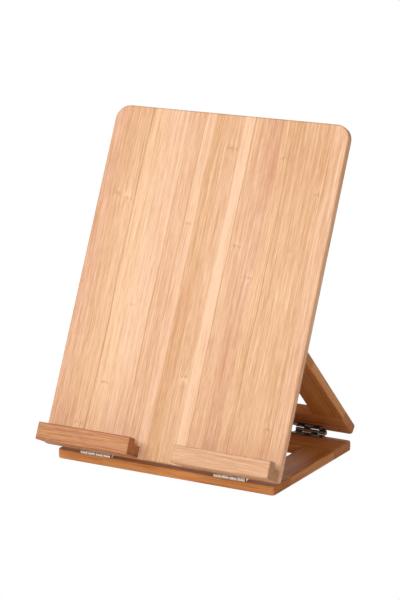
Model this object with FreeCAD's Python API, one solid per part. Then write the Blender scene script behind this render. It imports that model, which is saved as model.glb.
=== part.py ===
import FreeCAD, Part
import math
import os

# Folding bamboo display stand for an open album, a book or a tablet.
# A front board stands on a flat base frame and leans back on a prop frame.
# X runs across the stand, -Y is its front, +Z is up. Millimetres and degrees.

# --- Driving dimensions ------------------------------------------------------
BOARD_W = 260.0            # front board: width, height, thickness
BOARD_H = 350.0
BOARD_T = 8.0
BOARD_TOP_R = 15.0         # plan radius of its two top corners
BOARD_FOOT_R = 3.0         # plan radius of its two bottom corners
FRAME_W = 242.0            # base and prop: common width
FRAME_D = 170.0            # base: front to back
FRAME_T = 10.0             # base and prop: thickness
PROP_CLEAR = 1.3           # prop's rounded top end off the board's back
STILE_W = 33.5
BASE_FRONT_RAIL_W = 35.0
BASE_REAR_RAIL_W = 41.0
PROP_RAIL_W = 33.5
FRAME_CORNER_R = 4.5       # plan radius of the frames' outer corners
ARRIS_R = 1.6              # rounding along the outer edges of all boards
WINDOW_ARRIS_R = 1.0       # rounding along the windows' edges
PROP_ARRIS_R = 2.0         # rounding along the prop's outer edges, its bearing end included
LEAN = 65.3                # front board above the level
PROP_SLOPE = 43.1          # prop above the level, rising towards the front

LEDGE_L = 104.0            # ledge along the board
LEDGE_OUT = 23.0           # ledge out from the board's face
LEDGE_H = 17.5             # ledge height, lip included
LEDGE_AT = (("left", -74.5), ("right", 77.5))   # the middle of each ledge
LEDGE_LIFT = 0.5           # ledge above the board's bottom edge
LIP_T = 11.5               # thickness of the lip
REBATE_H = 6.0             # lip above the ledge's floor
LEDGE_ARRIS_R = 1.0

GROOVE_W = 12.5            # rest grooves across the back of the board
GROOVE_DEPTH = 2.6
GROOVE_END_R = 4.0
GROOVE_MARGIN = 1.0        # groove beyond each side of the prop
GROOVE_RISES = (3.0, 34.5, 62.5)    # groove centres above where the prop meets the board

HINGE_L = 34.0             # hinge length
HINGE_X = 74.5             # hinge centre from the middle
HINGE_REACH = 11.5         # leaf from the axis to its far edge
HINGE_RISE = 2.3           # axis above the wood that the leaves lie on
HINGE_OVERHANG = 2.0       # axis beyond the base's edge
LEAF_T = 1.0
LEAF_CORNER_R = 1.2
KNUCKLE_R = 2.1
KNUCKLES = 4
KNUCKLE_GAP = 0.8
KNUCKLE_END_R = 0.5        # rounding of the knuckles' ends
PIN_R = 1.0
PIN_CLEAR = 0.05
END_CLEAR = 1.0            # board and prop ends clear of their hinge axis
SCREW_X = 11.0             # leaf screws either side of the hinge's middle
SCREW_REACH = 7.2          # leaf screws from the axis
SCREW_R = 1.1
SCREW_HEAD_R = 2.1
SCREW_L = 6.5
LEDGE_SCREW_L = 20.0
LEDGE_SCREW_R = 1.5
LEDGE_SCREW_HEAD_R = 3.0
LEDGE_SCREW_X = 32.0       # ledge screws either side of the ledge's middle
SCREW_CLEAR = 0.05
SLOT_W = 0.5               # cross recess in a screw head: width
SLOT_REACH = 0.62          # its arms, as a share of the head's radius
SLOT_DEPTH = 0.8           # its depth, as a share of the head's height
SCREW_POINT = 2.0          # its point's length, as a multiple of the shank's radius
SCREW_TIP_R = 0.16
SCREW_END_GAP = 0.5        # hole beyond the point of a screw

DOWEL_R = 3.0
DOWEL_L = 30.0
DOWEL_CLEAR = 0.05
DOWEL_END_GAP = 1.0

X = FreeCAD.Vector(1, 0, 0)
Y = FreeCAD.Vector(0, 1, 0)
Z = FreeCAD.Vector(0, 0, 1)
BREAK_IN = 1.0             # cutters start this far outside the wood
NEAR = 0.01                # places closer than this are the same

# --- Positions worked out from them -------------------------------------------
FRONT_AXIS = FreeCAD.Vector(0, -HINGE_OVERHANG, FRAME_T + HINGE_RISE)
REAR_AXIS = FreeCAD.Vector(0, FRAME_D + HINGE_OVERHANG, FRAME_T + HINGE_RISE)
HINGE_SIDES = (("left", -HINGE_X), ("right", HINGE_X))
KNUCKLE_L = (HINGE_L - (KNUCKLES - 1) * KNUCKLE_GAP) / KNUCKLES


def prop_top_end():
    """The prop's reach from its axis, and how far up the board its top end meets it.

    The board's back, the base and the prop make a triangle between the two hinge axes. The
    end's inner edge is round: its centre stands PROP_ARRIS_R and PROP_CLEAR off the board.
    """
    lean = math.radians(LEAN)
    corner = math.radians(LEAN + PROP_SLOPE)
    span = REAR_AXIS.y - FRONT_AXIS.y
    off_prop = HINGE_RISE + PROP_ARRIS_R
    off_board = HINGE_RISE - PROP_ARRIS_R - PROP_CLEAR
    along = (span * math.sin(lean) + off_board - off_prop * math.cos(corner)) / math.sin(corner)
    meets = span * math.cos(lean) - along * math.cos(corner) + off_prop * math.sin(corner)
    return along + PROP_ARRIS_R, meets


PROP_REACH, PROP_MEETS = prop_top_end()


def vec(x, y, z):
    return FreeCAD.Vector(x, y, z)


def box(x0, x1, y0, y1, z0, z1):
    """A box between two corners."""
    return Part.makeBox(x1 - x0, y1 - y0, z1 - z0, vec(x0, y0, z0))


def edges_along(shape, axis):
    """The straight edges that run parallel to an axis."""
    found = []
    for edge in shape.Edges:
        if isinstance(edge.Curve, Part.Line) and edge.Curve.Direction.cross(axis).Length < NEAR:
            found.append(edge)
    return found


def round_corners(shape, radius, pick):
    """Round the upright edges that pick() accepts by their position."""
    chosen = [edge for edge in edges_along(shape, Z) if pick(edge.CenterOfMass)]
    return shape.makeFillet(radius, chosen)


def level_edges(shape, z0, z1):
    """The edges that lie in the two faces z0 and z1."""
    found = []
    for edge in shape.Edges:
        low = edge.BoundBox.ZMin
        high = edge.BoundBox.ZMax
        if high - low < NEAR and min(abs(low - z0), abs(low - z1)) < NEAR:
            found.append(edge)
    return found


def in_axis_frame(shape, axis_point, slope):
    """Carry a shape drawn flat beside a hinge axis to its place.

    Drawn flat, +Y runs from the axis along the panel and +Z away from the wood's hinge face.
    """
    moved = shape.copy()
    moved.rotate(vec(0, 0, 0), X, slope)
    moved.translate(axis_point)
    return moved


def to_board(shape):
    """Drawn flat, the board rises along +Y and faces +Z."""
    return in_axis_frame(shape, FRONT_AXIS, LEAN)


def to_prop(shape):
    """Drawn flat, the prop runs from its hinge along -Y with its outer face up."""
    return in_axis_frame(shape, REAR_AXIS, -PROP_SLOPE)


# --- Wooden frames -------------------------------------------------------------
def frame_slab(half_w, y0, y1, z0, front_rail, rear_rail, edge_r):
    """A flat slab with a window, rounded along its outer and inner edges."""
    z1 = z0 + FRAME_T
    slab = box(-half_w, half_w, y0, y1, z0, z1)
    slab = round_corners(slab, FRAME_CORNER_R, lambda point: True)
    slab = slab.makeFillet(edge_r, level_edges(slab, z0, z1))
    window_x = half_w - STILE_W
    window = box(-window_x, window_x, y0 + front_rail, y1 - rear_rail, z0 - BREAK_IN, z1 + BREAK_IN)
    slab = slab.cut(window)
    rims = []
    for edge in level_edges(slab, z0, z1):
        centre = edge.CenterOfMass
        inside_x = abs(centre.x) < window_x + NEAR
        inside_y = y0 + front_rail - NEAR < centre.y < y1 - rear_rail + NEAR
        if inside_x and inside_y:
            rims.append(edge)
    return slab.makeFillet(WINDOW_ARRIS_R, rims)


def split_frame(slab, half_w, y0, y1, z0, front_rail, rear_rail):
    """Cut a frame slab at its joints into two rails and two stiles."""
    low = z0 - BREAK_IN
    high = z0 + FRAME_T + BREAK_IN
    out = half_w + BREAK_IN
    joint_a = y0 + front_rail
    joint_b = y1 - rear_rail
    return {
        "front_rail": slab.common(box(-out, out, y0 - BREAK_IN, joint_a, low, high)),
        "rear_rail": slab.common(box(-out, out, joint_b, y1 + BREAK_IN, low, high)),
        "left_stile": slab.common(box(-out, 0, joint_a, joint_b, low, high)),
        "right_stile": slab.common(box(0, out, joint_a, joint_b, low, high)),
    }


def dowel_places(half_w, y0, y1, front_rail, rear_rail):
    """Two dowels across each of the four joints of a frame: (x, y of the joint)."""
    places = []
    for side in (-1, 1):
        for joint_y in (y0 + front_rail, y1 - rear_rail):
            for third in (1, 2):
                places.append((side * (half_w - STILE_W * third / 3.0), joint_y))
    return places


def dowel(x, joint_y, z, radius, length):
    return Part.makeCylinder(radius, length, vec(x, joint_y - length / 2.0, z), Y)


def add_dowels(pieces, places, z):
    """Bore the dowel holes in a frame's pieces and return the dowels."""
    dowels = [dowel(x, y, z, DOWEL_R, DOWEL_L) for x, y in places]
    for x, y in places:
        bore = dowel(x, y, z, DOWEL_R + DOWEL_CLEAR, DOWEL_L + DOWEL_END_GAP)
        for name in pieces:
            pieces[name] = pieces[name].cut(bore)
    return dowels


# --- Hinges --------------------------------------------------------------------
def screw(head_r, shank_r, length):
    """A countersunk cross-head screw, its head at z = 0 and its point down."""
    head_h = head_r - shank_r
    point_h = SCREW_POINT * shank_r
    shank_l = length - head_h - point_h
    solid = Part.makeCone(shank_r, head_r, head_h, vec(0, 0, -head_h), Z)
    solid = solid.fuse(Part.makeCylinder(shank_r, shank_l, vec(0, 0, point_h - length), Z))
    solid = solid.fuse(Part.makeCone(SCREW_TIP_R, shank_r, point_h, vec(0, 0, -length), Z))
    reach = SLOT_REACH * head_r
    half = SLOT_W / 2
    floor = -SLOT_DEPTH * head_h
    solid = solid.cut(box(-reach, reach, -half, half, floor, BREAK_IN))
    solid = solid.cut(box(-half, half, -reach, reach, floor, BREAK_IN))
    return solid.removeSplitter()


def screw_hole(head_r, shank_r, length):
    """The room a countersunk screw takes, with its clearance all round."""
    head_h = head_r - shank_r
    wide = shank_r + SCREW_CLEAR
    hole = Part.makeCone(wide, head_r + SCREW_CLEAR, head_h, vec(0, 0, -head_h), Z)
    hole = hole.fuse(Part.makeCylinder(wide, length, vec(0, 0, -length - SCREW_END_GAP), Z))
    hole = hole.fuse(Part.makeCylinder(head_r + SCREW_CLEAR, BREAK_IN, vec(0, 0, 0), Z))
    return hole


def leaf(own_knuckles):
    """One hinge leaf drawn flat: wood face at z = -HINGE_RISE, axis along X at the origin."""
    low = -HINGE_RISE
    plate = box(-HINGE_L / 2, HINGE_L / 2, KNUCKLE_R + KNUCKLE_GAP, HINGE_REACH, low, low + LEAF_T)
    corners = [e for e in edges_along(plate, Z) if e.CenterOfMass.y > HINGE_REACH - NEAR]
    plate = plate.makeFillet(LEAF_CORNER_R, corners)
    for k in own_knuckles:
        x0 = -HINGE_L / 2 + k * (KNUCKLE_L + KNUCKLE_GAP)
        tab = box(x0, x0 + KNUCKLE_L, 0, 2 * KNUCKLE_R, low, low + LEAF_T)
        barrel = Part.makeCylinder(KNUCKLE_R, KNUCKLE_L, vec(x0, 0, 0), X)
        rims = [edge for edge in barrel.Edges if isinstance(edge.Curve, Part.Circle)]
        barrel = barrel.makeFillet(KNUCKLE_END_R, rims)
        plate = plate.fuse(tab).fuse(barrel)
    bore_end = HINGE_L / 2 + BREAK_IN
    bore = Part.makeCylinder(PIN_R + PIN_CLEAR, 2 * bore_end, vec(-bore_end, 0, 0), X)
    plate = plate.cut(bore)
    hole = screw_hole(SCREW_HEAD_R, SCREW_R, SCREW_L)
    for x, y in leaf_screw_places():
        placed = hole.copy()
        placed.translate(vec(x, y, low + LEAF_T))
        plate = plate.cut(placed)
    return plate.removeSplitter()


def leaf_screw_places():
    return [(-SCREW_X, SCREW_REACH), (SCREW_X, SCREW_REACH)]


def leaf_screws(shape_maker):
    """Two screws, or their holes, in one leaf drawn flat."""
    solids = []
    for x, y in leaf_screw_places():
        solid = shape_maker(SCREW_HEAD_R, SCREW_R, SCREW_L)
        solid.translate(vec(x, y, LEAF_T - HINGE_RISE))
        solids.append(solid)
    return solids


def carry(shape, spin, axis_point, side_x):
    """Turn a flat-drawn leaf about the hinge axis and move it to its hinge."""
    moved = shape.copy()
    moved.rotate(vec(0, 0, 0), X, spin)
    moved.translate(axis_point + vec(side_x, 0, 0))
    return moved


def hinge_parts(axis_point, base_backwards):
    """Leaves, pins and screws of the two hinges on one axis, and what the screws cut.

    The base leaf of the front axis points back over the base, that of the rear axis forwards.
    The moving leaf lies on the board's back or on the prop's inner face.
    """
    parts = {}
    base_flat = leaf((0, 2))
    moving_flat = leaf((1, 3))
    if base_backwards:
        base_leaf = base_flat
        moving_leaf = moving_flat.mirror(vec(0, 0, 0), Z)
        moving_spin = LEAN
    else:
        base_leaf = base_flat.mirror(vec(0, 0, 0), Y)
        moving_leaf = moving_flat.mirror(vec(0, 0, 0), Y).mirror(vec(0, 0, 0), Z)
        moving_spin = -PROP_SLOPE
    pin = Part.makeCylinder(PIN_R, HINGE_L, vec(-HINGE_L / 2, 0, 0), X)
    groups = {"base_screws": [], "moving_screws": [], "base_holes": [], "moving_holes": []}
    for side, x in HINGE_SIDES:
        parts[side + "_base_leaf"] = carry(base_leaf, 0, axis_point, x)
        parts[side + "_moving_leaf"] = carry(moving_leaf, moving_spin, axis_point, x)
        parts[side + "_pin"] = carry(pin, 0, axis_point, x)
        for kind, maker in (("screws", screw), ("holes", screw_hole)):
            for solid in leaf_screws(maker):
                on_base = solid if base_backwards else solid.mirror(vec(0, 0, 0), Y)
                groups["base_" + kind].append(carry(on_base, 0, axis_point, x))
                on_panel = solid.mirror(vec(0, 0, 0), Z)
                if not base_backwards:
                    on_panel = on_panel.mirror(vec(0, 0, 0), Y)
                groups["moving_" + kind].append(carry(on_panel, moving_spin, axis_point, x))
    return parts, groups


# --- Front board and ledges ------------------------------------------------------
def flat_board():
    """The front board drawn flat: back face at z = HINGE_RISE, bottom edge at y = END_CLEAR."""
    z0 = HINGE_RISE
    z1 = z0 + BOARD_T
    top = END_CLEAR + BOARD_H
    board = box(-BOARD_W / 2, BOARD_W / 2, END_CLEAR, top, z0, z1)
    middle = END_CLEAR + BOARD_H / 2
    board = round_corners(board, BOARD_TOP_R, lambda point: point.y > middle)
    board = round_corners(board, BOARD_FOOT_R, lambda point: point.y < middle)
    return board.makeFillet(ARRIS_R, level_edges(board, z0, z1))


def rest_grooves():
    """Cutters of the stopped grooves across the back of the flat board, with round ends."""
    half = FRAME_W / 2 + GROOVE_MARGIN
    back = HINGE_RISE
    cutters = []
    for rise in GROOVE_RISES:
        y0 = PROP_MEETS + rise - GROOVE_W / 2
        groove = box(-half, half, y0, y0 + GROOVE_W, back - BREAK_IN, back + GROOVE_DEPTH)
        cutters.append(groove.makeFillet(GROOVE_END_R, edges_along(groove, Z)))
    return cutters


def flat_ledge(middle):
    """An L-shaped ledge drawn on the flat board: floor along the face, lip along its front."""
    x0 = middle - LEDGE_L / 2
    x1 = middle + LEDGE_L / 2
    face = HINGE_RISE + BOARD_T
    low = END_CLEAR + LEDGE_LIFT
    bar = box(x0, x1, low, low + LEDGE_H, face, face + LEDGE_OUT)
    top = low + LEDGE_H
    rebate = box(x0 - BREAK_IN, x1 + BREAK_IN, top - REBATE_H, top + BREAK_IN,
                 face - BREAK_IN, face + LEDGE_OUT - LIP_T)
    bar = bar.cut(rebate)
    proud = [edge for edge in bar.Edges if edge.CenterOfMass.z > face + NEAR]
    return bar.makeFillet(LEDGE_ARRIS_R, proud)


def flat_ledge_screws(middle, shape_maker):
    """Screws, or their holes, through the board from its back into one ledge's floor."""
    height = END_CLEAR + LEDGE_LIFT + (LEDGE_H - REBATE_H) / 2
    solids = []
    for dx in (-LEDGE_SCREW_X, LEDGE_SCREW_X):
        solid = shape_maker(LEDGE_SCREW_HEAD_R, LEDGE_SCREW_R, LEDGE_SCREW_L)
        solid = solid.mirror(vec(0, 0, 0), Z)
        solid.translate(vec(middle + dx, height, HINGE_RISE))
        solids.append(solid)
    return solids


# --- Assembly ------------------------------------------------------------------
def cut_all(shape, cutters):
    for cutter in cutters:
        shape = shape.cut(cutter)
    return shape


def build_base(front_holes, rear_holes):
    half = FRAME_W / 2
    rails = (BASE_FRONT_RAIL_W, BASE_REAR_RAIL_W)
    slab = frame_slab(half, 0.0, FRAME_D, 0.0, *rails, ARRIS_R)
    pieces = split_frame(slab, half, 0.0, FRAME_D, 0.0, *rails)
    places = dowel_places(half, 0.0, FRAME_D, *rails)
    dowels = add_dowels(pieces, places, FRAME_T / 2)
    return {
        "base_front_rail": cut_all(pieces["front_rail"], front_holes),
        "base_rear_rail": cut_all(pieces["rear_rail"], rear_holes),
        "base_left_stile": pieces["left_stile"],
        "base_right_stile": pieces["right_stile"],
        "base_dowels": Part.makeCompound(dowels),
    }


def build_prop(holes):
    """Drawn flat, the prop runs from its hinge along -Y, its inner face at z = HINGE_RISE."""
    half = FRAME_W / 2
    y1 = -END_CLEAR
    y0 = -PROP_REACH
    z0 = HINGE_RISE
    rails = (PROP_RAIL_W, PROP_RAIL_W)
    slab = frame_slab(half, y0, y1, z0, *rails, PROP_ARRIS_R)
    pieces = split_frame(slab, half, y0, y1, z0, *rails)
    places = dowel_places(half, y0, y1, *rails)
    dowels = add_dowels(pieces, places, z0 + FRAME_T / 2)
    return {
        "prop_bottom_rail": cut_all(to_prop(pieces["rear_rail"]), holes),
        "prop_top_rail": to_prop(pieces["front_rail"]),
        "prop_left_stile": to_prop(pieces["left_stile"]),
        "prop_right_stile": to_prop(pieces["right_stile"]),
        "prop_dowels": to_prop(Part.makeCompound(dowels)),
    }


def build_board(hinge_holes):
    board = cut_all(flat_board(), rest_grooves())
    parts = {}
    for name, middle in LEDGE_AT:
        ledge = flat_ledge(middle)
        for hole in flat_ledge_screws(middle, screw_hole):
            board = board.cut(hole)
            ledge = ledge.cut(hole)
        parts[name + "_ledge"] = to_board(ledge)
        parts[name + "_ledge_screws"] = to_board(Part.makeCompound(flat_ledge_screws(middle, screw)))
    parts["front_board"] = cut_all(to_board(board), hinge_holes)
    return parts


def build_all():
    front, front_groups = hinge_parts(FRONT_AXIS, True)
    rear, rear_groups = hinge_parts(REAR_AXIS, False)
    parts = {}
    parts.update(build_base(front_groups["base_holes"], rear_groups["base_holes"]))
    parts.update(build_prop(rear_groups["moving_holes"]))
    parts.update(build_board(front_groups["moving_holes"]))
    for prefix, hinge, panel in (("front", front, "board"), ("rear", rear, "prop")):
        for side, _x in HINGE_SIDES:
            stem = prefix + "_" + side + "_hinge_"
            parts[stem + "base_leaf"] = hinge[side + "_base_leaf"]
            parts[stem + panel + "_leaf"] = hinge[side + "_moving_leaf"]
            parts[stem + "pin"] = hinge[side + "_pin"]
    parts["front_hinge_base_screws"] = Part.makeCompound(front_groups["base_screws"])
    parts["front_hinge_board_screws"] = Part.makeCompound(front_groups["moving_screws"])
    parts["rear_hinge_base_screws"] = Part.makeCompound(rear_groups["base_screws"])
    parts["rear_hinge_prop_screws"] = Part.makeCompound(rear_groups["moving_screws"])
    return parts


def centre_on_floor(parts):
    """Move the stand so that its origin is the middle of its footprint, on the floor."""
    whole = Part.makeCompound(list(parts.values())).optimalBoundingBox(False, False)
    shift = vec(-(whole.XMin + whole.XMax) / 2, -(whole.YMin + whole.YMax) / 2, -whole.ZMin)
    for shape in parts.values():
        shape.translate(shift)
    return shift


def main():
    parts = build_all()
    shift = centre_on_floor(parts)
    os.makedirs("parts", exist_ok=True)
    for name, shape in parts.items():
        bad = "" if shape.isValid() else "  NOT VALID"
        print(name, len(shape.Solids), round(shape.Volume, 1), bad)
        shape.exportStep(os.path.join("parts", name + ".step"))
    print("nodes", len(parts))
    for label, axis in (("board_tilt axis", FRONT_AXIS), ("prop_swing axis", REAR_AXIS)):
        place = axis + shift
        print(label, round(place.x, 4), round(place.y, 4), round(place.z, 4))
    print("shift", shift.x, shift.y, shift.z)


main()
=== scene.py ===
import math

import bpy
import numpy as np
from bpy.props import FloatProperty, FloatVectorProperty, PointerProperty
from mathutils import Matrix, Vector


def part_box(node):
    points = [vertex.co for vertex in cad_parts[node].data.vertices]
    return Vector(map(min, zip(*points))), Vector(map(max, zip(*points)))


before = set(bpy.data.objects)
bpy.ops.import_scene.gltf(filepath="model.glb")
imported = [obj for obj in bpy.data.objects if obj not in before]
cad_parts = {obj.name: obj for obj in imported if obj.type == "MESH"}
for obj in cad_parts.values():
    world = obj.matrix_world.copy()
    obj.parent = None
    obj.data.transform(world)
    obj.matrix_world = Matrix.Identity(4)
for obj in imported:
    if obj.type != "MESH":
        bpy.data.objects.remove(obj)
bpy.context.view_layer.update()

bl_info = {
    "name": "Folding bamboo display stand",
    "version": (1, 0, 0),
    "blender": (4, 5, 0),
    "location": "3D View > Sidebar > Stand",
    "description": "Finishes and stage of a folding bamboo stand for an open album or book",
    "category": "Object",
}

MM = 0.001
WHITE = (1.0, 1.0, 1.0, 1.0)

# Noise drawn out along the grain: its pitch per millimetre across the grain and along it.
SWAY_PITCH = (0.02, 0.006)
STREAK_PITCH = (0.34, 0.004)
FIBRE_PITCH = (0.95, 0.016)
FLECK_PITCH = (0.9, 0.10)
DRIFT_PITCH = (0.012, 0.004)
RAGGED_PITCH = (0.5, 0.05)
CELL_PITCH = 0.95          # cut fibres on an end face

SWAY = 5.0                 # how far a strip wanders sideways, in millimetres
UNEVEN = 0.16              # how far strip widths differ, as a share of a strip
UNEVEN_WAVE = 2.1          # radians of that unevenness for each strip
GLUE_RIM = (0.1, 0.85)     # millimetres from a strip's rim over which its glue line fades
NODE_CORE = 1.2            # millimetres: a node's dark line, and the patch round it
NODE_HALO = 7.0
NODE_BOW = 9.0             # how far a node's line bows and how ragged it is, in millimetres
NODE_RAGGED = 5.0
NODE_RIM = (0.8, 4.5)      # millimetres from a strip's rim over which its nodes fade in
PALE_STRIP_W = 6.5
PALE_STRIP_LIGHT = 0.26    # how much paler the pale strip is, and how much darker the sides
OUTER_DARK = 0.22
OUTER_SHIFT = 0.05

# Added to a strip's number, so that each of its random values is its own.
TINT_DRAW = 31.0
SEAM_DRAW = 57.0
NODE_DRAW = 83.0
SHOWN_DRAW = 7.0           # strips' numbers are multiplied by this one

# How much each thing darkens, roughens or raises the wood.
MIDDLE_TONE = 0.50
DARKENS = {"tone": 0.46, "streak": 0.9, "fibre": 2.0, "fleck": 0.6, "drift": 0.5,
           "glue": 0.55, "core": 0.65}
WOOD_ROUGHNESS = 0.44
ROUGHENS = {"fibre": 0.16, "core": 0.1, "end": 0.15}
RAISES = {"fibre": 0.45, "streak": 0.25, "glue": -0.9, "core": -0.5, "cut": -0.7}
WOOD_RELIEF = 0.12 * MM
WOOD_GLOSS = {"Coat Weight": 0.06, "Coat Roughness": 0.32, "IOR": 1.48,
              "Specular IOR Level": 0.34}
ROSY = (1.0, 0.96, 1.06)
GOLDEN = (1.0, 0.985, 0.92)
END_GRAIN = (0.56, 0.42, 0.30)
# Painted shade: the colour multiplied onto rounded arrises, standing in for the dark rim that light
# leaves along rounded edges.
ARRIS_PAINTED_SHADE = (0.80, 0.68, 0.56)
LEDGE_LAYER = 5.8          # millimetres: thickness of the layers that a ledge is cut from

PLATE_RELIEF = 0.004 * MM
PLATE_ROUGHNESS = 0.20
DULLED = 0.85              # dull plating's colour, as a share of the bright one's

FLOOR_DROP = 0.2 * MM      # the floor, clear of the base's underside
FLOOR_REACH = 6.0
FLOOR_POINTS = 9           # along each side of its grid
MOTTLE = 0.985             # the darker tone of the floor, as a share of the paler one
AIM = (0.0, 0.0, 0.15)     # the point that the lights face
LIGHTS = (                 # name, place, width and height
    ("key", (-1.3, -1.85, 1.75), (1.4, 1.4)),
    ("front", (0.2, -2.2, 1.1), (1.6, 0.7)),
    ("side", (2.0, -0.8, 0.9), (1.2, 1.6)),
    ("back", (-0.6, 2.2, 1.5), (1.6, 1.2)),
)
LOOK_RIGHT = 40.07 * MM    # the point that the camera looks at, over the base's front edge
LOOK_HIGH = 181.09 * MM
SENSOR_W = 36.0


# --- The frame's own directions ---------------------------------------------------
def slope_of(box, thick):
    """The slope of a slab that leans across the stand, from its box and its thickness.

    A slab of length L and thickness T that slopes by s spans L cos s + T sin s in depth and
    L sin s + T cos s in height. Each step takes off the T terms of the last s.
    """
    low, high = box
    depth = high[1] - low[1]
    height = high[2] - low[2]
    slope = math.atan2(height, depth)
    for _ in range(20):
        slope = math.atan2(height - thick * math.cos(slope), depth - thick * math.sin(slope))
    return slope


BOARD_T = 8 * MM
BOARD_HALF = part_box("front_board")[1][0] / MM
FRAME_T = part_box("base_left_stile")[1][2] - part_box("base_left_stile")[0][2]
LEAN = slope_of(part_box("front_board"), BOARD_T)
SLOPE = slope_of(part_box("prop_right_stile"), FRAME_T)

ACROSS = Vector((1, 0, 0))
UP_BOARD = Vector((0, math.cos(LEAN), math.sin(LEAN)))
OUT_OF_BOARD = Vector((0, -math.sin(LEAN), math.cos(LEAN)))
UP_PROP = Vector((0, -math.cos(SLOPE), math.sin(SLOPE)))
OUT_OF_PROP = Vector((0, math.sin(SLOPE), math.cos(SLOPE)))
BACK = Vector((0, 1, 0))
UP = Vector((0, 0, 1))


# --- Shader maths -----------------------------------------------------------------
class Wire:
    """One output of a node. Arithmetic on wires and numbers adds Math nodes."""

    def __init__(self, graph, socket):
        self.graph = graph
        self.socket = socket

    def _math(self, operation, first, second=None):
        inputs = {0: first} if second is None else {0: first, 1: second}
        return self.graph.node("ShaderNodeMath", {"operation": operation}, inputs)

    def __add__(self, other):
        return self._math("ADD", self, other)

    __radd__ = __add__

    def __sub__(self, other):
        return self._math("SUBTRACT", self, other)

    def __rsub__(self, other):
        return self._math("SUBTRACT", other, self)

    def __mul__(self, other):
        return self._math("MULTIPLY", self, other)

    __rmul__ = __mul__

    def __abs__(self):
        return self._math("ABSOLUTE", self)

    def floor(self):
        return self._math("FLOOR", self)

    def sine(self):
        return self._math("SINE", self)

    def larger(self, other):
        return self._math("MAXIMUM", self, other)

    def smaller(self, other):
        return self._math("MINIMUM", self, other)

    def bell(self, width):
        """A smooth hump, 1 at zero and falling off within about the width."""
        scaled = self * (1.0 / width)
        return self._math("EXPONENT", scaled * scaled * -1.0)

    def step(self, low, high):
        """0 below low, 1 above high, and smooth between them."""
        settings = {"interpolation_type": "SMOOTHSTEP"}
        inputs = {"Value": self, "From Min": low, "From Max": high}
        return self.graph.node("ShaderNodeMapRange", settings, inputs)


class Graph:
    """The nodes of a material, or of the world, under construction."""

    def __init__(self, owner):
        owner.use_nodes = True
        self.owner = owner
        self.tree = owner.node_tree
        self.tree.nodes.clear()

    def node(self, kind, settings, inputs, output=0):
        """Add a node of a kind, set it up, feed its inputs and return one of its outputs."""
        made = self.tree.nodes.new(kind)
        for name, value in settings.items():
            setattr(made, name, value)
        for key, value in inputs.items():
            if isinstance(value, Wire):
                self.tree.links.new(value.socket, made.inputs[key])
            else:
                made.inputs[key].default_value = value
        return Wire(self, made.outputs[output]) if made.outputs else None

    def place(self):
        """Object coordinates in millimetres."""
        coords = self.node("ShaderNodeTexCoord", {}, {}, "Object")
        settings = {"operation": "SCALE"}
        return self.node("ShaderNodeVectorMath", settings, {0: coords, "Scale": 1 / MM})

    def normal(self):
        return self.node("ShaderNodeTexCoord", {}, {}, "Normal")

    def dot(self, vector, direction):
        settings = {"operation": "DOT_PRODUCT"}
        inputs = {0: vector, 1: tuple(direction)}
        return self.node("ShaderNodeVectorMath", settings, inputs, "Value")

    def vector(self, x, y, z):
        return self.node("ShaderNodeCombineXYZ", {}, {"X": x, "Y": y, "Z": z})

    def noise(self, vector, detail=2.0, roughness=0.5):
        """Noise from -0.5 to 0.5."""
        inputs = {"Vector": vector, "Scale": 1.0, "Detail": detail, "Roughness": roughness}
        return self.node("ShaderNodeTexNoise", {}, inputs, "Fac") - 0.5

    def chance(self, number):
        """A random value from 0 to 1 for each whole number."""
        settings = {"noise_dimensions": "1D"}
        return self.node("ShaderNodeTexWhiteNoise", settings, {"W": number}, "Value")

    def mix(self, factor, first, second, blend="MIX"):
        """Mix two colours, each a wire or three numbers."""
        settings = {"data_type": "RGBA", "blend_type": blend, "clamp_factor": True}
        first, second = [c if isinstance(c, Wire) else (*c, 1.0) for c in (first, second)]
        return self.node("ShaderNodeMix", settings, {0: factor, 6: first, 7: second}, 2)

    def seen_directly(self):
        """1 to direct views and 0 to the light that bounces."""
        return self.node("ShaderNodeLightPath", {}, {}, "Is Camera Ray")

    def finish(self, color, roughness, relief=None, fixed=None, glows=False):
        """Close the material with a Principled shader and return it.

        Relief is a height and its depth in metres. A material that glows shows full white to
        direct views, and keeps its colour for the light it casts.
        """
        inputs = {"Base Color": color, "Roughness": roughness, **(fixed or {})}
        if relief:
            bump = {"Height": relief[0], "Distance": relief[1], "Strength": 1.0}
            inputs["Normal"] = self.node("ShaderNodeBump", {}, bump, "Normal")
        shader = self.node("ShaderNodeBsdfPrincipled", {}, inputs, "BSDF")
        if glows:
            glow = self.node("ShaderNodeEmission", {}, {"Color": WHITE, "Strength": 1.0})
            shader = self.node("ShaderNodeMixShader", {},
                               {0: self.seen_directly(), 1: shader, 2: glow})
        self.node("ShaderNodeOutputMaterial", {}, {"Surface": shader})
        return self.owner


# --- Sizes and colours a user can change ------------------------------------------
def colour(name, description, default):
    return FloatVectorProperty(name=name, description=description, default=default, size=3,
                               subtype="COLOR", min=0.0, max=1.0)


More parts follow.
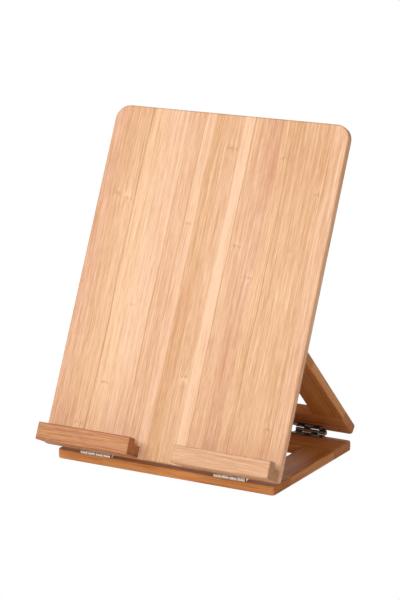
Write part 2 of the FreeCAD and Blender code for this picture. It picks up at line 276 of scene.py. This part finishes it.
class BambooSettings(bpy.types.PropertyGroup):
    board_pale: colour("Board, pale", "Palest strips of the leaning board", (0.87, 0.55, 0.335))
    board_dark: colour("Board, dark", "Darkest strips of the leaning board", (0.58, 0.27, 0.11))
    left_pale: colour("Left ledge, pale", "Pale layers of the left ledge", (0.67, 0.315, 0.13))
    left_dark: colour("Left ledge, dark", "Dark layers of the left ledge", (0.34, 0.10, 0.025))
    right_pale: colour("Right ledge, pale", "Pale layers of the right ledge", (0.79, 0.49, 0.31))
    right_dark: colour("Right ledge, dark", "Dark layers of the right ledge", (0.54, 0.245, 0.10))
    frame_pale: colour("Frames, pale", "Pale strips of the base and the prop", (0.66, 0.27, 0.08))
    frame_dark: colour("Frames, dark", "Dark strips of the base and the prop", (0.40, 0.115, 0.014))
    frame_edge: colour("Frames, edges", "Narrow edges of the base and the prop",
                       (0.70, 0.30, 0.095))
    strip_width: FloatProperty(name="Strip width", description="Width of one pressed bamboo strip",
                               default=14.5 * MM, unit="LENGTH", min=3 * MM)
    pale_strip: FloatProperty(name="Pale strip", description="Place of the board's palest strip",
                              default=17.5 * MM, unit="LENGTH")
    node_spacing: FloatProperty(name="Node spacing",
                                description="Distance between the nodes of a culm",
                                default=230 * MM, unit="LENGTH", min=50 * MM)


class MetalSettings(bpy.types.PropertyGroup):
    nickel: colour("Nickel", "Plated hinges", (0.93, 0.91, 0.87))
    # Painted shade: the rear hinges are the same nickel as the front ones, and this darker colour
    # stands in for the shade they sit in under the board.
    rear_painted_shade: colour("Rear hinges", "Duller plating of the rear hinges", (0.36, 0.34, 0.31))
    pin: colour("Pins", "Plain steel pins", (0.24, 0.23, 0.21))
    screw: colour("Screws", "Plated screws", (0.66, 0.65, 0.62))


class StageSettings(bpy.types.PropertyGroup):
    floor: colour("Floor", "Plain floor", (0.93, 0.93, 0.93))
    azimuth: FloatProperty(name="Azimuth", description="Viewing direction round the stand",
                           default=math.radians(29.0), subtype="ANGLE")
    elevation: FloatProperty(name="Elevation", description="Viewing height",
                             default=math.radians(13.74), subtype="ANGLE")
    roll: FloatProperty(name="Roll", description="Tilt of the camera",
                        default=math.radians(0.28), subtype="ANGLE")
    distance: FloatProperty(name="Distance", description="Camera to the point it looks at",
                            default=2.21626, unit="LENGTH")
    lens: FloatProperty(name="Lens", description="Focal length in millimetres", default=141.18)
    key: FloatProperty(name="Key", description="Power of the large soft light",
                       default=35.0, subtype="POWER")
    front: FloatProperty(name="Front",
                         description="Power of the front light, as a share of the key",
                         default=0.55, subtype="FACTOR")
    side: FloatProperty(name="Side",
                        description="Power of the right-hand light, as a share of the key",
                        default=0.34, subtype="FACTOR")
    back: FloatProperty(name="Back", description="Power of the light behind, as a share of the key",
                        default=0.2, subtype="FACTOR")
    fill: FloatProperty(name="Fill", description="Strength of the white surroundings", default=0.22)


# --- Bamboo -----------------------------------------------------------------------
def grain(g, spot, pitch, detail, roughness=0.5):
    """Noise drawn out along the grain, at a spot across, along and through the wood."""
    side, run, deep = spot
    stretched = g.vector(side * pitch[0], run * pitch[1], deep * pitch[0])
    return g.noise(stretched, detail, roughness)


def weighed(total, wires, weights):
    """The total plus each named wire times its weight."""
    for name, weight in weights.items():
        total = total + wires[name] * weight
    return total


def strips(g, side, seed, strip):
    """Cut the place across the grain into uneven strips.

    Gives a strip's number, the place inside it from 0 to 1, the distance to its rim and its
    glue line.
    """
    wave = (side * (UNEVEN_WAVE / strip) + seed).sine() * UNEVEN
    position = side * (1.0 / strip) + wave
    number = position.floor()
    inside = position - number
    rim = inside.smaller(1.0 - inside) * strip
    seam = g.chance((position + 0.5).floor() + seed + SEAM_DRAW)
    glue = (1.0 - rim.step(*GLUE_RIM)) * seam.step(0.15, 0.8)
    return number, inside, rim, glue


def culm_nodes(g, spot, strip, seed, spacing):
    """The nodes along each strip: a bowed, ragged line and the patch round it."""
    number, inside, rim = strip
    cycle = spot[1] * (1.0 / spacing) + g.chance(number + seed + NODE_DRAW) * 3.0
    shown = g.chance(number * SHOWN_DRAW + cycle.floor() + seed).step(0.3, 0.45)
    ragged = grain(g, spot, RAGGED_PITCH, 2.0)
    bow = (inside - 0.5) * (inside - 0.5) * NODE_BOW + ragged * NODE_RAGGED
    from_node = (cycle - cycle.floor() - 0.5) * spacing + bow
    body = shown * rim.step(*NODE_RIM)
    core = from_node.bell(NODE_CORE) * body * (0.6 + ragged * 3.0)
    return core, from_node.bell(NODE_HALO) * body


def bamboo(name, pale, dark, directions, seed, strip, spacing, pale_strip=None, edge=None):
    """Pressed bamboo strips, side by side across the piece.

    The directions are across the strips, along the grain and through the board. Each strip
    has a random tone, glue lines beside it and nodes at random places along it; long noise
    along the grain gives its streaks and fibres. Faces that look along the grain show the
    dots of the cut fibres. One strip, by its place across the piece, may be paler than the
    rest, with the sides darker, and the narrow edges may have a colour of their own.
    """
    g = Graph(bpy.data.materials.new(name))
    place = g.place()
    side, run, deep = [g.dot(place, direction) for direction in directions]
    sway = g.noise(g.vector(side * SWAY_PITCH[0], run * SWAY_PITCH[1], seed), 1.0)
    side = side + sway * SWAY
    spot = (side, run, deep)
    number, inside, rim, glue = strips(g, side, seed, strip)
    core, halo = culm_nodes(g, spot, (number, inside, rim), seed, spacing)
    tint = g.chance(number + seed + TINT_DRAW)
    streak = grain(g, spot, STREAK_PITCH, 3.0, 0.7)
    fibre = grain(g, spot, FIBRE_PITCH, 2.0, 0.8)
    fleck = grain(g, spot, FLECK_PITCH, 1.0)
    wires = {"tone": g.chance(number + seed) - 0.5, "streak": streak, "fibre": fibre,
             "fleck": fleck, "drift": grain(g, spot, DRIFT_PITCH, 1.0), "glue": glue,
             "core": core}
    darkness = weighed(MIDDLE_TONE, wires, DARKENS) + halo * (fleck * 1.6 - 0.12)
    if pale_strip is not None:
        outer = side * (1.0 / BOARD_HALF)
        darkness = darkness - (side - pale_strip).bell(PALE_STRIP_W) * PALE_STRIP_LIGHT
        darkness = darkness + outer * outer * OUTER_DARK - OUTER_SHIFT
    color = g.mix(darkness, pale, dark)
    color = g.mix(tint.step(0.3, 1.0) * 0.7, color, ROSY, "MULTIPLY")
    color = g.mix(1.0 - tint.step(0.0, 0.5), color, GOLDEN, "MULTIPLY")
    normal = g.normal()
    to_side, to_run, to_deep = [abs(g.dot(normal, direction)) for direction in directions]
    if edge is not None:
        narrow = 1.0 - to_deep.step(0.3, 0.8)
        color = g.mix(narrow * (0.60 - streak * 1.2 - fibre * 2.0), color, edge)
    end = to_run.step(0.75, 0.95)
    # Rounded arrises, where the normal lies along none of the wood's directions: painted shade
    # darkens them.
    arris_shade_mask = 1.0 - to_side.larger(to_deep).larger(to_run).step(0.86, 0.99)
    cells = {"Vector": g.vector(side * CELL_PITCH, 0.0, deep * CELL_PITCH), "Scale": 1.0,
             "Randomness": 0.9}
    dots = 1.0 - g.node("ShaderNodeTexVoronoi", {}, cells, "Distance").step(0.12, 0.42)
    color = g.mix(end * (0.55 + dots * 0.4), color, END_GRAIN, "MULTIPLY")
    color = g.mix(arris_shade_mask * 0.35, color, ARRIS_PAINTED_SHADE, "MULTIPLY")
    wires.update(end=end, cut=dots * end)
    roughness = weighed(WOOD_ROUGHNESS, wires, ROUGHENS)
    height = weighed(0.0, wires, RAISES)
    return g.finish(color, roughness, (height, WOOD_RELIEF), WOOD_GLOSS)


# --- Metal ------------------------------------------------------------------------
def plating(name, color, seed):
    """Plated steel: fine lines along the hinge, a little clouding and duller patches."""
    g = Graph(bpy.data.materials.new(name))
    place = g.place()
    x, y, z = [g.dot(place, direction) for direction in (ACROSS, BACK, UP)]
    lines = g.noise(g.vector(x * 0.10 + seed, y * 6.0, z * 6.0), 2.0)
    cloud = g.noise(g.vector(x * 0.2, y * 0.2 + seed, z * 0.2), 3.0)
    dulling_and_painted_shade = cloud.step(0.0, 0.4)
    base = g.mix(dulling_and_painted_shade, color, [DULLED * c for c in color])
    roughness = PLATE_ROUGHNESS + lines * 0.06 + dulling_and_painted_shade * 0.08
    return g.finish(base, roughness, (lines * 0.4, PLATE_RELIEF), {"Metallic": 1.0})


def paint(node, material):
    """Put one material in every slot of a CAD node."""
    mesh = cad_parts[node].data
    if not mesh.materials:
        mesh.materials.append(material)
    for index in range(len(mesh.materials)):
        mesh.materials[index] = material


# --- One step for each group of pieces --------------------------------------------
class STAND_OT_board(bpy.types.Operator):
    """Give the leaning board its pressed bamboo"""
    bl_idname = "stand.board"
    bl_label = "Leaning board"

    def execute(self, context):
        look = context.scene.stand_bamboo
        directions = (ACROSS, UP_BOARD, OUT_OF_BOARD)
        paint("front_board", bamboo("board_bamboo", look.board_pale, look.board_dark, directions,
                                    3.0, look.strip_width / MM, look.node_spacing / MM,
                                    look.pale_strip / MM))
        return {"FINISHED"}


class STAND_OT_ledges(bpy.types.Operator):
    """Finish the two ledges that carry the album"""
    bl_idname = "stand.ledges"
    bl_label = "Ledges"

    def execute(self, context):
        look = context.scene.stand_bamboo
        directions = (UP_BOARD, ACROSS, OUT_OF_BOARD)
        layers = (LEDGE_LAYER, look.node_spacing / MM)
        paint("left_ledge", bamboo("left_ledge_bamboo", look.left_pale, look.left_dark,
                                   directions, 11.0, *layers))
        paint("right_ledge", bamboo("right_ledge_bamboo", look.right_pale, look.right_dark,
                                    directions, 12.0, *layers))
        return {"FINISHED"}


class STAND_OT_frames(bpy.types.Operator):
    """Give the base and the prop their rails and stiles of bamboo"""
    bl_idname = "stand.frames"
    bl_label = "Base and prop"

    def execute(self, context):
        look = context.scene.stand_bamboo
        rest = (look.strip_width / MM, look.node_spacing / MM)
        for panel, run, out in (("base", BACK, UP), ("prop", UP_PROP, OUT_OF_PROP)):
            for ending, directions, seed in (("_rail", (run, ACROSS, out), 21.0),
                                             ("_stile", (ACROSS, run, out), 41.0)):
                pieces = [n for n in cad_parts
                          if n.startswith(panel + "_") and n.endswith(ending)]
                for count, node in enumerate(sorted(pieces)):
                    paint(node, bamboo(node + "_bamboo", look.frame_pale, look.frame_dark,
                                       directions, seed + count, *rest, edge=look.frame_edge))
            paint(panel + "_dowels", bamboo(panel + "_dowel_wood", look.right_pale,
                                            look.right_dark, (ACROSS, run, out), 61.0, *rest))
        return {"FINISHED"}


class STAND_OT_hardware(bpy.types.Operator):
    """Plate the hinges, pins and screws, the rear hinges with a darker copy of the nickel as
    painted shade
    """
    bl_idname = "stand.hardware"
    bl_label = "Hinges and screws"

    def execute(self, context):
        look = context.scene.stand_metal
        bright = plating("nickel_plate", look.nickel, 5.0)
        # The rear hinges' material is a darker copy of the nickel: painted shade for the shade
        # under the board.
        dulling_and_painted_shade = plating("painted_shade_nickel_plate", look.rear_painted_shade, 7.0)
        pins = plating("pin_steel", look.pin, 3.0)
        screws = plating("screw_plate", look.screw, 9.0)
        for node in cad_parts:
            if "screws" in node:
                paint(node, screws)
            elif node.endswith("_pin"):
                paint(node, pins)
            elif "hinge" in node:
                paint(node, dulling_and_painted_shade if node.startswith("rear") else bright)
        return {"FINISHED"}


# --- Stage ------------------------------------------------------------------------
def area_light(name, at, size, power):
    data = bpy.data.lights.new(name, "AREA")
    data.shape = "RECTANGLE"
    data.size, data.size_y = size
    data.energy = power
    light = bpy.data.objects.new(name, data)
    light.location = at
    light.rotation_euler = (Vector(at) - Vector(AIM)).to_track_quat("Z", "Y").to_euler()
    bpy.context.scene.collection.objects.link(light)


def set_camera(look):
    """Stand the camera at its azimuth and elevation round the look-at point, and roll it."""
    az, el, roll = look.azimuth, look.elevation, look.roll
    back = Vector((math.sin(az) * math.cos(el), -math.cos(az) * math.cos(el), math.sin(el)))
    right = UP.cross(back).normalized()
    upward = back.cross(right)
    turned = math.cos(roll) * right + math.sin(roll) * upward
    upright = math.cos(roll) * upward - math.sin(roll) * right
    data = bpy.data.cameras.new("camera")
    data.lens = look.lens
    data.sensor_width = SENSOR_W
    camera = bpy.data.objects.new("camera", data)
    aim = Vector((LOOK_RIGHT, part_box("base_front_rail")[0][1], LOOK_HIGH))
    turn = Matrix((turned, upright, back)).transposed().to_4x4()
    camera.matrix_world = Matrix.Translation(aim + look.distance * back) @ turn
    bpy.context.scene.collection.objects.link(camera)
    bpy.context.scene.camera = camera


def floor_sheet(color):
    """A wide flat sheet at floor level, its points on a square grid, with a faint mottle.

    Seen directly it glows white, as an overlit studio sweep does, so nothing shows through it
    from below.
    """
    steps = np.linspace(-FLOOR_REACH, FLOOR_REACH, FLOOR_POINTS)
    x, y = np.meshgrid(steps, steps)
    points = np.stack([x.ravel(), y.ravel(), np.full(x.size, -FLOOR_DROP)], 1)
    grid = np.arange(x.size).reshape(x.shape)
    quads = np.stack([grid[:-1, :-1], grid[:-1, 1:], grid[1:, 1:], grid[1:, :-1]], -1)
    mesh = bpy.data.meshes.new("floor")
    mesh.from_pydata(points.tolist(), [], quads.reshape(-1, 4).tolist())
    g = Graph(bpy.data.materials.new("floor_paint"))
    mottle = g.noise(g.node("ShaderNodeTexCoord", {}, {}, "Object"), 3.0)
    tone = g.mix(0.5 + mottle, color, [MOTTLE * c for c in color])
    mesh.materials.append(g.finish(tone, 0.85 + mottle * 0.05, glows=True))
    floor = bpy.data.objects.new("floor", mesh)
    bpy.context.scene.collection.objects.link(floor)


def white_surroundings(fill):
    """A world that is full white to direct views, and casts light of the fill's strength."""
    g = Graph(bpy.data.worlds.new("studio"))
    inputs = {"Value": g.seen_directly(), "To Min": fill}
    strength = g.node("ShaderNodeMapRange", {}, inputs)
    shader = g.node("ShaderNodeBackground", {}, {"Color": WHITE, "Strength": strength})
    g.node("ShaderNodeOutputWorld", {}, {"Surface": shader})
    bpy.context.scene.world = g.owner


class STAND_OT_stage(bpy.types.Operator):
    """Lay the floor and set the lights and the camera"""
    bl_idname = "stand.stage"
    bl_label = "Stage"

    def execute(self, context):
        look = context.scene.stand_stage
        floor_sheet(tuple(look.floor))
        shares = {"key": 1.0, "front": look.front, "side": look.side, "back": look.back}
        for name, at, size in LIGHTS:
            area_light(name, at, size, look.key * shares[name])
        white_surroundings(look.fill)
        context.scene.view_settings.view_transform = "Standard"
        set_camera(look)
        return {"FINISHED"}


class STAND_PT_panel(bpy.types.Panel):
    """Lists the steps that dress the stand"""
    bl_idname = "STAND_PT_panel"
    bl_label = "Display stand"
    bl_space_type = "VIEW_3D"
    bl_region_type = "UI"
    bl_category = "Stand"

    def draw(self, context):
        for step in STEPS:
            self.layout.operator(step.bl_idname)
        scene = context.scene
        for settings in (scene.stand_bamboo, scene.stand_metal, scene.stand_stage):
            box = self.layout.box()
            for name in settings.__annotations__:
                box.prop(settings, name)


STEPS = (STAND_OT_stage, STAND_OT_board, STAND_OT_ledges, STAND_OT_frames, STAND_OT_hardware)
SETTINGS = (BambooSettings, MetalSettings, StageSettings)
CLASSES = SETTINGS + STEPS + (STAND_PT_panel,)


def register():
    for cls in CLASSES:
        bpy.utils.register_class(cls)
    bpy.types.Scene.stand_bamboo = PointerProperty(type=BambooSettings)
    bpy.types.Scene.stand_metal = PointerProperty(type=MetalSettings)
    bpy.types.Scene.stand_stage = PointerProperty(type=StageSettings)


def unregister():
    del bpy.types.Scene.stand_stage
    del bpy.types.Scene.stand_metal
    del bpy.types.Scene.stand_bamboo
    for cls in reversed(CLASSES):
        bpy.utils.unregister_class(cls)


def main():
    register()
    for step in STEPS:
        group, name = step.bl_idname.split(".")
        getattr(getattr(bpy.ops, group), name)()


if __name__ == "__main__":
    main()
